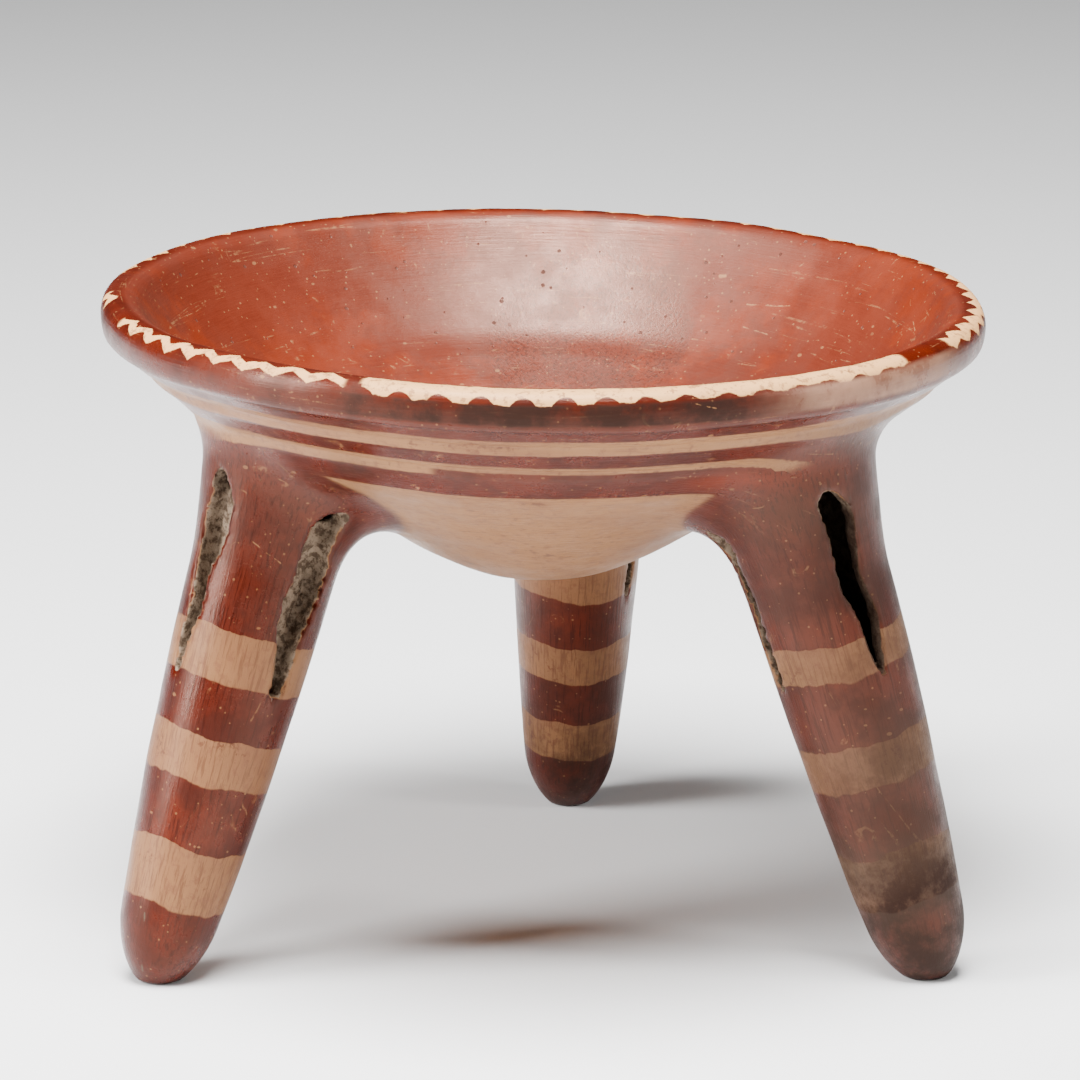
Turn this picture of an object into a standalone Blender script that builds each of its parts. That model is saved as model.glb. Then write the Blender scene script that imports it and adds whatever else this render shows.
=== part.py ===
"""Tripod bowl of fired clay: a wide flaring bowl on three hollow legs with ragged slits.

Metres, +Z up. The origin is on the ground, under the centre of the rim, and the front faces -Y.
The vessel is one piece of clay, so it is one object, joined from a turned bowl and three legs.
"""

import math

import bmesh
import bpy
from mathutils import Matrix, Vector

# Bowl
RIM_DIAMETER = 0.2186
RIM_HEIGHT = 0.1608
BOWL_DEPTH = 0.0705
BOWL_WALL = 0.0052
RIM_LEAN = math.radians(0.85)
LIP_WIDTH = 0.0100
LIP_HEIGHT = 0.0092
FLOOR_FLAT_RADIUS = 0.012
GROOVE_DEPTH = 0.0011
GROOVE_WIDTH = 0.0030

# Legs
FOOT_CIRCLE_RADIUS = 0.105
FOOT_WEAR = 0.0020
NOSE_LENGTH = 0.018
LEG_RADIUS_AT_FOOT = 0.0102
LEG_RADIUS_AT_HEAD = 0.0181
LEG_WALL = 0.0042
CAVITY_START = 0.030
OUTER_FILLET = 0.006
INNER_FILLET = 0.0145
WEB_SINK = 0.0014

# Slits
SLIT_WIDTH = 0.0092

# Mesh resolution
BOWL_SEGMENTS = 60
LEG_SEGMENTS = 20
CAVITY_SEGMENTS = 14
SLIT_STATIONS = 11

RIM_RADIUS = RIM_DIAMETER / 2
AXIS_REACH = RIM_HEIGHT * 1.3

# Underside of the bowl, from its lowest point out to the crease under the lip:
# share of the rim radius, and share of the bowl's depth above the lowest point
UNDERSIDE = (
    (0.0, 0.0), (0.136, 0.012), (0.273, 0.102), (0.409, 0.235), (0.545, 0.370),
    (0.655, 0.464), (0.745, 0.543), (0.818, 0.648), (0.873, 0.720), (0.918, 0.772),
    (0.955, 0.832), (0.975, 0.857),
)
GROOVES = (0.823, 0.919)

# Each leg: foot place as shares of the foot circle, lean of its axis per metre of height,
# and its slits as (bearing at the top, bearing at the tip, start and end as shares of the leg's length)
LEGS = {
    "left": ((-0.916, -0.499), (0.272, 0.165), ((14, 5, 0.61, 0.985), (104, 102, 0.61, 0.965))),
    "right": ((0.913, -0.459), (-0.291, 0.007), ((-38, -27, 0.63, 1.015), (-138, -130, 0.64, 0.965))),
    "back": ((0.063, 0.944), (0.030, -0.213), ((-118, -117, 0.525, 0.90), (-30, -34, 0.56, 0.93))),
}


def clear_scene():
    for old in list(bpy.data.objects):
        bpy.data.objects.remove(old, do_unlink=True)


def clay_material(name, colour, roughness):
    material = bpy.data.materials.new(name)
    material.use_nodes = True
    shader = material.node_tree.nodes["Principled BSDF"]
    shader.inputs["Base Color"].default_value = (*colour, 1.0)
    shader.inputs["Roughness"].default_value = roughness
    shader.inputs["Metallic"].default_value = 0.0
    material.diffuse_color = (*colour, 1.0)
    return material


def smooth_height(radius):
    """Height of the underside above the bowl's lowest point, on a smooth curve through UNDERSIDE."""
    points = [(r * RIM_RADIUS, h * BOWL_DEPTH) for r, h in UNDERSIDE]
    last = len(points) - 1
    slopes = []
    for i in range(last + 1):
        before = points[max(i - 1, 0)]
        after = points[min(i + 1, last)]
        slopes.append((after[1] - before[1]) / (after[0] - before[0]))
    slopes[0] = 0.0
    if radius >= points[last][0]:
        return points[last][1] + slopes[last] * (radius - points[last][0])
    i = 0
    while radius > points[i + 1][0]:
        i += 1
    span = points[i + 1][0] - points[i][0]
    t = (radius - points[i][0]) / span
    rise = points[i + 1][1] - points[i][1]
    return (
        points[i][1]
        + rise * t * t * (3 - 2 * t)
        + span * slopes[i] * t * (1 - t) ** 2
        - span * slopes[i + 1] * t * t * (1 - t)
    )


def slope_at(radius):
    step = RIM_RADIUS * 0.01
    low = max(radius - step, 0.0)
    return (smooth_height(radius + step) - smooth_height(low)) / (radius + step - low)


def underside_point(radius):
    """Point (radius, height) on the underside, with the two turned grooves sunk into it."""
    dip = 0.0
    for share in GROOVES:
        off = (radius - share * RIM_RADIUS) / (GROOVE_WIDTH / 2)
        dip += GROOVE_DEPTH * math.exp(-off * off)
    slope = slope_at(radius)
    length = math.hypot(1.0, slope)
    return radius - dip * slope / length, smooth_height(radius) + dip / length


def quadratic(start, corner, end, t):
    return tuple(
        (1 - t) ** 2 * a + 2 * t * (1 - t) * b + t * t * c for a, b, c in zip(start, corner, end)
    )


def underside_radii():
    radii = [share * RIM_RADIUS for share in (0.07, 0.14, 0.21, 0.28, 0.36, 0.44, 0.52, 0.60, 0.68, 0.75)]
    for share in GROOVES:
        centre = share * RIM_RADIUS
        radii += [centre + GROOVE_WIDTH * step for step in (-0.75, 0.0, 0.75)]
    between = sum(GROOVES) / 2 * RIM_RADIUS
    radii += [between - GROOVE_WIDTH * 0.4, between + GROOVE_WIDTH * 0.4, 0.95 * RIM_RADIUS]
    return sorted(radii)


def lip_points(crease):
    """The rolled lip, from the crease round the outside to its inner shoulder."""
    top = BOWL_DEPTH
    outer = RIM_RADIUS
    belly = top - LIP_HEIGHT * 0.48
    crest = (outer - LIP_WIDTH * 0.42, top)
    inner = (outer - LIP_WIDTH * 0.92, top - LIP_HEIGHT * 0.22)
    points = [quadratic(crease, (outer, crease[1]), (outer, belly), t) for t in (0.35, 0.7, 1.0)]
    points += [quadratic((outer, belly), (outer - 0.0004, top), crest, t) for t in (0.35, 0.7, 1.0)]
    points += [quadratic(crest, (outer - LIP_WIDTH * 0.70, top), inner, t) for t in (0.5, 1.0)]
    return points


def inner_point(radius):
    lift = BOWL_WALL * math.hypot(1.0, slope_at(radius))
    return radius, smooth_height(radius) + lift


def bowl_profile():
    """The whole turned outline, from the lowest point of the underside round to the middle of the floor."""
    crease = underside_point(0.972 * RIM_RADIUS)
    points = [(0.0, 0.0)] + [underside_point(r) for r in underside_radii()] + [crease]
    lip = lip_points(crease)
    points += lip
    shoulder = lip[-1]
    wall_top = inner_point(0.76 * RIM_RADIUS)
    rise = shoulder[1] - wall_top[1]
    run = shoulder[0] - wall_top[0]
    bend = (wall_top[0] + run * 0.62, wall_top[1] + rise * 0.50)
    points += [quadratic(shoulder, bend, wall_top, t) for t in (0.2, 0.4, 0.6, 0.8, 1.0)]
    points += [inner_point(share * RIM_RADIUS) for share in (0.68, 0.58, 0.48, 0.38, 0.29, 0.2)]
    floor = inner_point(FLOOR_FLAT_RADIUS)[1]
    points += [(FLOOR_FLAT_RADIUS, floor), (0.0, floor)]
    return points


def finish_mesh(name, mesh_data):
    mesh = bpy.data.meshes.new(name)
    bmesh.ops.recalc_face_normals(mesh_data, faces=mesh_data.faces)
    mesh_data.to_mesh(mesh)
    mesh_data.free()
    obj = bpy.data.objects.new(name, mesh)
    bpy.context.scene.collection.objects.link(obj)
    return obj


def turned_bowl(name):
    """The bowl alone: its outline spun about the Z axis, then leant by the rim's lean about the rim's centre."""
    mesh_data = bmesh.new()
    points = bowl_profile()
    verts = [mesh_data.verts.new((r, 0.0, h - BOWL_DEPTH)) for r, h in points]
    edges = [mesh_data.edges.new(pair) for pair in zip(verts, verts[1:])]
    bmesh.ops.spin(
        mesh_data, geom=verts + edges, cent=(0, 0, 0), axis=(0, 0, 1),
        angle=math.tau, steps=BOWL_SEGMENTS, use_merge=True,
    )
    bmesh.ops.remove_doubles(mesh_data, verts=mesh_data.verts, dist=0.00001)
    mesh_data.transform(bowl_to_world())
    return finish_mesh(name, mesh_data)


def bowl_to_world():
    return Matrix.Translation((0, 0, RIM_HEIGHT)) @ Matrix.Rotation(RIM_LEAN, 4, "Y")


def depth_in_bowl(point):
    """How far a point lies above the bowl's underside, measured in the bowl's own upright frame."""
    local = bowl_to_world().inverted() @ point
    return local.z + BOWL_DEPTH - smooth_height(math.hypot(local.x, local.y))


def drop_to_underside(x, y, sink):
    """The point straight above (x, y) that lies the given depth inside the wall, from below."""
    low = 0.0
    high = RIM_HEIGHT
    for _ in range(40):
        middle = (low + high) / 2
        if depth_in_bowl(Vector((x, y, middle))) > sink:
            high = middle
        else:
            low = middle
    return Vector((x, y, (low + high) / 2))


class Leg:
    """One hollow leg: a leaning axis from a rounded tip up to the bowl, and rings of points about it."""

    def __init__(self, foot, lean):
        self.tip = Vector((foot[0] * FOOT_CIRCLE_RADIUS, foot[1] * FOOT_CIRCLE_RADIUS, -FOOT_WEAR))
        self.axis = Vector((lean[0], lean[1], 1.0)).normalized()
        outward = Vector((self.tip.x, self.tip.y, 0.0))
        outward -= self.axis * outward.dot(self.axis)
        self.outward = outward.normalized()
        self.across = self.axis.cross(self.outward)
        self.length = self.reach(None)

    def direction(self, bearing):
        return self.outward * math.cos(bearing) + self.across * math.sin(bearing)

    def radius(self, along):
        """Leg radius at a distance from the tip: a blunt nose, a slow taper and a swelling head."""
        reference = RIM_HEIGHT * 0.82
        t = along / reference
        taper = LEG_RADIUS_AT_FOOT + (LEG_RADIUS_AT_HEAD - LEG_RADIUS_AT_FOOT) * t * (1.95 - 0.95 * t)
        head = max(along - reference * 0.80, 0.0)
        taper += 0.21 * head * head / (head + reference * 0.12)
        if along < NOSE_LENGTH:
            taper *= math.sqrt(1 - (1 - along / NOSE_LENGTH) ** 2)
        return taper

    def point(self, along, bearing, inset=0.0):
        offset = 0.0 if bearing is None else max(self.radius(along) - inset, 0.0002)
        side = Vector((0, 0, 0)) if bearing is None else self.direction(bearing)
        return self.tip + self.axis * along + side * offset

    def reach(self, bearing, inset=0.0):
        """Distance along the leg at which its flank meets the underside of the bowl."""
        low = RIM_HEIGHT * 0.3
        high = AXIS_REACH
        for _ in range(36):
            middle = (low + high) / 2
            if depth_in_bowl(self.point(middle, bearing, inset)) > 0:
                high = middle
            else:
                low = middle
        return (low + high) / 2

    def fillets(self, bearing):
        """Length of the fillet down the leg and out along the bowl, widest on the inner side."""
        inward = (1 - math.cos(bearing)) / 2
        down = OUTER_FILLET + (INNER_FILLET - OUTER_FILLET) * inward
        out = OUTER_FILLET * 0.35 + (INNER_FILLET - OUTER_FILLET * 0.35) * inward
        return down, out


def grounded(point):
    return Vector((point.x, point.y, max(point.z, 0.0)))


def loft(name, rings, first_centre, last_centre):
    """A closed body skinned over rings of equal length, with a fan of triangles at each end."""
    mesh_data = bmesh.new()
    rows = [[mesh_data.verts.new(p) for p in ring] for ring in rings]
    count = len(rows[0])
    for below, above in zip(rows, rows[1:]):
        for i in range(count):
            j = (i + 1) % count
            mesh_data.faces.new((below[i], below[j], above[j], above[i]))
    for row, centre in ((rows[0], first_centre), (rows[-1], last_centre)):
        hub = mesh_data.verts.new(centre)
        for i in range(count):
            mesh_data.faces.new((row[i], row[(i + 1) % count], hub))
    return finish_mesh(name, mesh_data)


def leg_body(name, leg):
    """The leg's outer form, spreading at its head into a web that sinks into the bowl's wall."""
    bearings = [math.tau * i / LEG_SEGMENTS for i in range(LEG_SEGMENTS)]
    rings = []
    for share in (0.12, 0.32, 0.62, 1.0):
        rings.append([grounded(leg.point(NOSE_LENGTH * share, b)) for b in bearings])
    for share in (0.16, 0.34, 0.52, 0.70, 0.86, 1.0):
        ring = []
        for b in bearings:
            top = leg.reach(b) - leg.fillets(b)[0]
            ring.append(leg.point(NOSE_LENGTH + (top - NOSE_LENGTH) * share, b))
        rings.append(ring)
    for t in (0.35, 0.65, 1.0):
        ring = []
        for b in bearings:
            down, out = leg.fillets(b)
            reach = leg.reach(b)
            corner = leg.point(reach, b)
            side = leg.direction(b)
            flat = Vector((side.x, side.y, 0.0)).normalized() * out
            spread = drop_to_underside(corner.x + flat.x, corner.y + flat.y, WEB_SINK)
            ring.append(Vector(quadratic(leg.point(reach - down, b), corner, spread, t)))
        rings.append(ring)
    cap = []
    for b in bearings:
        inside = leg.point(leg.reach(b), b)
        cap.append(drop_to_underside(inside.x, inside.y, BOWL_WALL * 0.55))
    rings.append(cap)
    hub = drop_to_underside(*leg.point(leg.length, None).xy, BOWL_WALL * 0.55)
    tip = grounded(leg.point(0.0, None))
    return loft(name, rings, tip, hub)


def leg_cavity(name, leg):
    """The hollow inside the leg, which runs up past the leg's top and is closed by the bowl's own wall."""
    bearings = [math.tau * i / CAVITY_SEGMENTS for i in range(CAVITY_SEGMENTS)]
    top = leg.length + BOWL_WALL
    rings = []
    for share, closing in ((0.0, 0.55), (0.05, 0.9), (0.2, 1.0), (0.4, 1.0), (0.6, 1.0), (0.8, 1.0), (1.0, 1.0)):
        along = CAVITY_START + (top - CAVITY_START) * share
        room = leg.radius(along) - LEG_WALL
        rings.append([leg.point(along, b, leg.radius(along) - room * closing) for b in bearings])
    return loft(name, rings, leg.point(CAVITY_START - 0.003, None), leg.point(top + 0.003, None))


def slit_cutter(name, leg, top_bearing, tip_bearing, start, end, phase):
    """A ragged wedge through one flank: widest near its top, and tapering down to a crack."""
    rings = []
    for i in range(SLIT_STATIONS):
        t = i / (SLIT_STATIONS - 1)
        along = leg.length * (start + (end - start) * t)
        width = SLIT_WIDTH * (0.05 + 0.95 * t ** 0.75) * math.sqrt(max(1 - t ** 6, 0.0))
        width *= 1 + 0.16 * math.sin(9.0 * t + phase)
        half = max(width / 2, 0.0003) / leg.radius(along)
        middle = math.radians(tip_bearing + (top_bearing - tip_bearing) * t)
        middle += 0.03 * math.sin(13.0 * t + 2 * phase)
        deep = LEG_WALL * 1.6
        proud = -LEG_WALL
        rings.append([
            leg.point(along, middle - half, deep),
            leg.point(along, middle + half, deep),
            leg.point(along, middle + half, proud),
            leg.point(along, middle - half, proud),
        ])
    first = sum(rings[0], Vector()) / 4
    last = sum(rings[-1], Vector()) / 4
    return loft(name, rings, first, last)


def join_with(target, operation, other):
    """Cuts the other body from the target, or unites them, and keeps the other as a hidden guide."""
    boolean = target.modifiers.new(f"{operation.lower()}_{other.name}", "BOOLEAN")
    boolean.operation = operation
    boolean.solver = "EXACT"
    boolean.object = other
    other.hide_render = True
    other.display_type = "WIRE"


def build():
    clear_scene()
    bowl = turned_bowl("tripod_bowl")
    phase = 0.0
    for name, (foot, lean, slits) in LEGS.items():
        leg = Leg(foot, lean)
        body = leg_body(f"{name}_leg_form", leg)
        join_with(body, "DIFFERENCE", leg_cavity(f"{name}_leg_hollow", leg))
        for number, slit in enumerate(slits, 1):
            phase += 1.7
            join_with(body, "DIFFERENCE", slit_cutter(f"{name}_slit_{number}", leg, *slit, phase))
        join_with(bowl, "UNION", body)
    bowl.data.materials.append(clay_material("painted_clay", (0.33, 0.075, 0.035), 0.42))
    bowl.data.shade_smooth()
    bowl.data.set_sharp_from_angle(angle=math.radians(40))


build()
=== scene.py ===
"""Looks of the tripod bowl: its fine clay surface, painted slips, wear and a plain studio.

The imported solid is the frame. One fine mesh stands for it: the bowl and legs are described by
distances to turned outlines, blended where the legs grow out of the bowl, and meshed on a grid.
"""

import math

import bmesh
import bpy
import numpy as np
from mathutils import Matrix, Vector


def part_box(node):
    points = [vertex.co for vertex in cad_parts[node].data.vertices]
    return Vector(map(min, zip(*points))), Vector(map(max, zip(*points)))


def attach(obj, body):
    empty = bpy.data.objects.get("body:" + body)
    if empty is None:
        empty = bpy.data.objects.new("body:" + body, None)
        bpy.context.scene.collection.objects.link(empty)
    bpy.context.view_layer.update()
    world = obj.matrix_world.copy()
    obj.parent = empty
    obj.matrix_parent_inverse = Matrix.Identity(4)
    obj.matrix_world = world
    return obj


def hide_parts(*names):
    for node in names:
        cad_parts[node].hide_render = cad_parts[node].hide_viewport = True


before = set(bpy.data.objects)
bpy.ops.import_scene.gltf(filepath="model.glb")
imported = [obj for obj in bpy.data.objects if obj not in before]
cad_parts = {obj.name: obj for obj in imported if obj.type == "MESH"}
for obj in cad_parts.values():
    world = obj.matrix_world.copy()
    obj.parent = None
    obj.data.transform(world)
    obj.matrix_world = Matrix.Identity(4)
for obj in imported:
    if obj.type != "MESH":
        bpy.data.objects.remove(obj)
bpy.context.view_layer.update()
NODE = "tripod_bowl"
low_corner, high_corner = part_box(NODE)
MM = 0.001

# Bowl: the sizes of the solid, with grooves a little deeper
RIM_RADIUS = (high_corner.y - low_corner.y) / 2
RIM_HEIGHT = 0.1608
BOWL_DEPTH = 0.0705
BOWL_WALL = 0.0052
RIM_LEAN = math.radians(0.85)
LIP_WIDTH = 0.0100
LIP_HEIGHT = 0.0092
CREASE_SHARE = 0.972
CREST_INSET = LIP_WIDTH * 0.42
WALL_START_SHARE = 0.76
FLOOR_FLAT_RADIUS = 0.012
GROOVES = (0.823, 0.919)
GROOVE_DEPTH = 0.0012
GROOVE_WIDTH = 0.0030
UNDERSIDE = (
    (0.0, 0.0), (0.136, 0.012), (0.273, 0.102), (0.409, 0.235), (0.545, 0.370),
    (0.655, 0.464), (0.745, 0.543), (0.818, 0.648), (0.873, 0.720), (0.918, 0.772),
    (0.955, 0.832), (0.975, 0.857),
)

# Legs: the sizes of the solid, with softer joins to the bowl
FOOT_CIRCLE_RADIUS = 0.105
FOOT_WEAR = 0.0020
NOSE_LENGTH = 0.018
LEG_RADIUS_AT_FOOT = 0.0102
LEG_RADIUS_AT_HEAD = 0.0181
LEG_WALL = 0.0042
OPEN_SLIT_DEPTH = LEG_WALL * 1.9
BACKED_SLIT_SHARE = 0.22
CAVITY_START = 0.030
LEG_LENGTH = 0.131
LEG_TAPER_LENGTH = RIM_HEIGHT * 0.82
LEG_TABLE_LENGTH = 0.165
WIDEST_LEG = 0.062
OUTER_BLEND = 0.007
INNER_BLEND = 0.0165

# Each leg: foot place as shares of the foot circle, lean of its axis per metre of height, its slits,
# where the edges of its stripes lie along it in millimetres, and how far its red reaches onto the bowl.
# A slit: its bearing at the top and at the tip in degrees, its start and end as shares of the leg's
# length, its width, the extra clay behind it, and the share of the width that its tip keeps.
LEGS = {
    "left": (
        (-0.916, -0.499), (0.272, 0.165),
        ((14, 5, 0.60, 0.985, 0.0092, 0.0036, 0.05), (104, 102, 0.60, 0.965, 0.0112, 0.0062, 0.28)),
        (22.5, 37.5, 54.0, 65.5, 79.0, 91.5), 10.5,
    ),
    "right": (
        (0.913, -0.459), (-0.291, 0.007),
        ((-38, -27, 0.63, 1.005, 0.0100, 0.0, 0.05), (-138, -130, 0.64, 0.965, 0.0092, 0.0020, 0.10)),
        (24.2, 38.7, 56.3, 67.0, 85.0, 93.5), 6.5,
    ),
    "back": (
        (0.063, 0.944), (0.030, -0.213),
        ((-118, -117, 0.525, 0.90, 0.0080, 0.0, 0.05), (-30, -34, 0.56, 0.93, 0.0092, 0.0, 0.05)),
        (20.5, 32.0, 45.0, 55.5, 69.7, 84.0), 8.0,
    ),
}

# Unevenness of the hand-built clay: size and height of its bumps in millimetres
SMALL_DENTS = (11, 0.10)
WIDE_DENTS = (26, 0.16)
SLIT_CRUMBS = (2.8, 0.20)
SLIT_GRAINS = (1.2, 0.08)
HOLLOW_CRUMBS = (4.5, 0.35)
HOLLOW_GRAINS = (1.8, 0.15)

# Mesh
GRID_STEP = 0.00125
MOST_TRIANGLES = 190000
TABLE_STEP = 0.00025

to_world = Matrix.Translation((0, 0, RIM_HEIGHT)) @ Matrix.Rotation(RIM_LEAN, 4, "Y")
from_world = np.array(to_world.inverted())


def smoothstep(low, high, value):
    t = np.clip((value - low) / (high - low), 0.0, 1.0)
    return t * t * (3 - 2 * t)


class ValueNoise:
    """Smooth repeatable noise from -1 to 1, on a lattice of seeded random values."""

    def __init__(self, seed, size=32):
        self.size = size
        self.values = np.random.default_rng(seed).uniform(-1, 1, (size, size, size)).astype(np.float32)

    def __call__(self, points, scale):
        q = points * (1 / scale)
        cell = np.floor(q).astype(np.int64)
        t = q - cell
        t = t * t * (3 - 2 * t)
        total = np.zeros(len(points))
        for corner in range(8):
            step = np.array([corner & 1, corner >> 1 & 1, corner >> 2 & 1])
            weight = np.prod(np.where(step, t, 1 - t), axis=1)
            index = (cell + step) % self.size
            total += weight * self.values[index[:, 0], index[:, 1], index[:, 2]]
        return total


noise = ValueNoise(7)
rough_noise = ValueNoise(19)


def uneven(source, points, bump):
    """Height of the bumps at the points, for bumps of one size and height."""
    size, height = bump
    return source(points, size * MM) * height * MM


def hermite(points, values):
    """A smooth curve through the points, read at the given values."""
    x = np.array([p[0] for p in points])
    y = np.array([p[1] for p in points])
    slope = np.gradient(y, x)
    slope[0] = 0.0
    i = np.clip(np.searchsorted(x, values) - 1, 0, len(x) - 2)
    span = x[i + 1] - x[i]
    t = (values - x[i]) / span
    inside = (
        y[i] + (y[i + 1] - y[i]) * t * t * (3 - 2 * t)
        + span * slope[i] * t * (1 - t) ** 2 - span * slope[i + 1] * t * t * (1 - t)
    )
    return np.where(t > 1, y[-1] + slope[-1] * (values - x[-1]), inside)


def underside(radius):
    """Height of the underside above the bowl's lowest point."""
    return hermite([(r * RIM_RADIUS, h * BOWL_DEPTH) for r, h in UNDERSIDE], radius)


def underside_slope(radius):
    step = RIM_RADIUS * 0.01
    low = np.maximum(radius - step, 0)
    return (underside(radius + step) - underside(low)) / (radius + step - low)


def quadratic(start, corner, end, count):
    """Points on a curve that leaves the start towards the corner and comes to the end from it."""
    t = np.linspace(0, 1, count)[1:, None]
    start, corner, end = (np.array(p, float) for p in (start, corner, end))
    return (1 - t) ** 2 * start + 2 * t * (1 - t) * corner + t * t * end


def outer_outline():
    """From the lowest point of the underside out to the crease, and round the lip to its crest."""
    radius = np.linspace(0, CREASE_SHARE * RIM_RADIUS, 260)
    dip = sum(
        GROOVE_DEPTH * np.exp(-(((radius - share * RIM_RADIUS) / (GROOVE_WIDTH / 2)) ** 2))
        for share in GROOVES
    )
    slope = underside_slope(radius)
    length = np.hypot(1, slope)
    side = np.stack([radius - dip * slope / length, underside(radius) + dip / length], 1)
    crease = side[-1]
    top = BOWL_DEPTH
    belly = (RIM_RADIUS, top - LIP_HEIGHT * 0.48)
    crest = (RIM_RADIUS - CREST_INSET, top)
    return np.concatenate([
        side,
        quadratic(crease, (RIM_RADIUS, crease[1]), belly, 14),
        quadratic(belly, (RIM_RADIUS - 0.4 * MM, top), crest, 14),
    ])


def inner_outline():
    """From the crest down the inner side of the lip and the wall to the middle of the floor."""
    top = BOWL_DEPTH
    crest = (RIM_RADIUS - CREST_INSET, top)
    shoulder = (RIM_RADIUS - LIP_WIDTH * 0.92, top - LIP_HEIGHT * 0.22)
    radius = np.linspace(WALL_START_SHARE * RIM_RADIUS, FLOOR_FLAT_RADIUS, 120)
    wall = np.stack([radius, underside(radius) + BOWL_WALL * np.hypot(1, underside_slope(radius))], 1)
    rise = shoulder[1] - wall[0, 1]
    run = shoulder[0] - wall[0, 0]
    bend = (wall[0, 0] + run * 0.62, wall[0, 1] + rise * 0.50)
    return np.concatenate([
        [crest],
        quadratic(crest, (RIM_RADIUS - LIP_WIDTH * 0.70, top), shoulder, 12),
        quadratic(shoulder, bend, wall[0], 40),
        wall[1:],
        [(0.0, wall[-1, 1])],
    ])


class OutlineTable:
    """Distance to a closed outline, negative inside, kept on a fine table and read between its nodes."""

    def __init__(self, outline, low, high):
        self.low = np.array(low)
        counts = np.ceil((np.array(high) - self.low) / TABLE_STEP).astype(int) + 1
        grid = np.stack(np.meshgrid(*(np.arange(n) for n in counts), indexing="ij"), -1)
        spots = (self.low + grid * TABLE_STEP).reshape(-1, 2)
        best = np.full(len(spots), 1e9)
        odd = np.zeros(len(spots), bool)
        for a, b in zip(outline, np.roll(outline, -1, axis=0)):
            edge = b - a
            size = edge @ edge
            if size < 1e-16:
                continue
            share = np.clip(((spots - a) @ edge) / size, 0, 1)
            gap = spots - a - share[:, None] * edge
            best = np.minimum(best, (gap * gap).sum(1))
            crosses = (a[1] > spots[:, 1]) != (b[1] > spots[:, 1])
            if abs(edge[1]) > 1e-12:
                odd ^= crosses & (spots[:, 0] < a[0] + (spots[:, 1] - a[1]) / edge[1] * edge[0])
        self.values = (np.sqrt(best) * np.where(odd, -1, 1)).reshape(counts)

    def __call__(self, first, second):
        x = np.clip((first - self.low[0]) / TABLE_STEP, 0, self.values.shape[0] - 1.001)
        y = np.clip((second - self.low[1]) / TABLE_STEP, 0, self.values.shape[1] - 1.001)
        i = x.astype(int)
        j = y.astype(int)
        x = x - i
        y = y - j
        v = self.values
        return (
            (v[i, j] * (1 - x) + v[i + 1, j] * x) * (1 - y)
            + (v[i, j + 1] * (1 - x) + v[i + 1, j + 1] * x) * y
        )


def leg_radius(along):
    """Leg radius at a distance from the tip: a blunt nose, a slow taper and a swelling head."""
    t = along / LEG_TAPER_LENGTH
    taper = LEG_RADIUS_AT_FOOT + (LEG_RADIUS_AT_HEAD - LEG_RADIUS_AT_FOOT) * t * (1.95 - 0.95 * t)
    head = np.maximum(along - LEG_TAPER_LENGTH * 0.80, 0)
    taper = taper + 0.21 * head * head / (head + LEG_TAPER_LENGTH * 0.12)
    nose = np.clip(1 - along / NOSE_LENGTH, 0, 1)
    return taper * np.sqrt(1 - nose * nose)


def bowl_tables():
    """The bowl filled to its brim, and the space inside it, which goes on upwards past the brim."""
    table_top = (0.135, BOWL_DEPTH + 0.02)
    above = BOWL_DEPTH + 0.06
    filled = np.concatenate([outer, [(0.0, BOWL_DEPTH)]])
    hollow = np.concatenate([inner, [(0.0, above), (inner[0, 0], above)]])
    return OutlineTable(filled, (0, -0.05), table_top), OutlineTable(hollow, (0, -0.02), table_top)


def leg_outline_table():
    """The outline of a whole leg without slits: distance from the tip, and radius."""
    nose = NOSE_LENGTH * (1 - np.cos(np.linspace(0, math.pi / 2, 30)))
    run = np.concatenate([nose, np.linspace(NOSE_LENGTH + 0.5 * MM, LEG_TABLE_LENGTH, 120)])
    line = np.stack([run, leg_radius(run)], 1)
    closed = np.concatenate([line, [(LEG_TABLE_LENGTH, 0.0)]])
    return OutlineTable(closed, (-0.02, 0), (LEG_TABLE_LENGTH, 0.07))


outer = outer_outline()
inner = inner_outline()
filled_bowl, hollow_bowl = bowl_tables()
leg_table = leg_outline_table()


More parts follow.
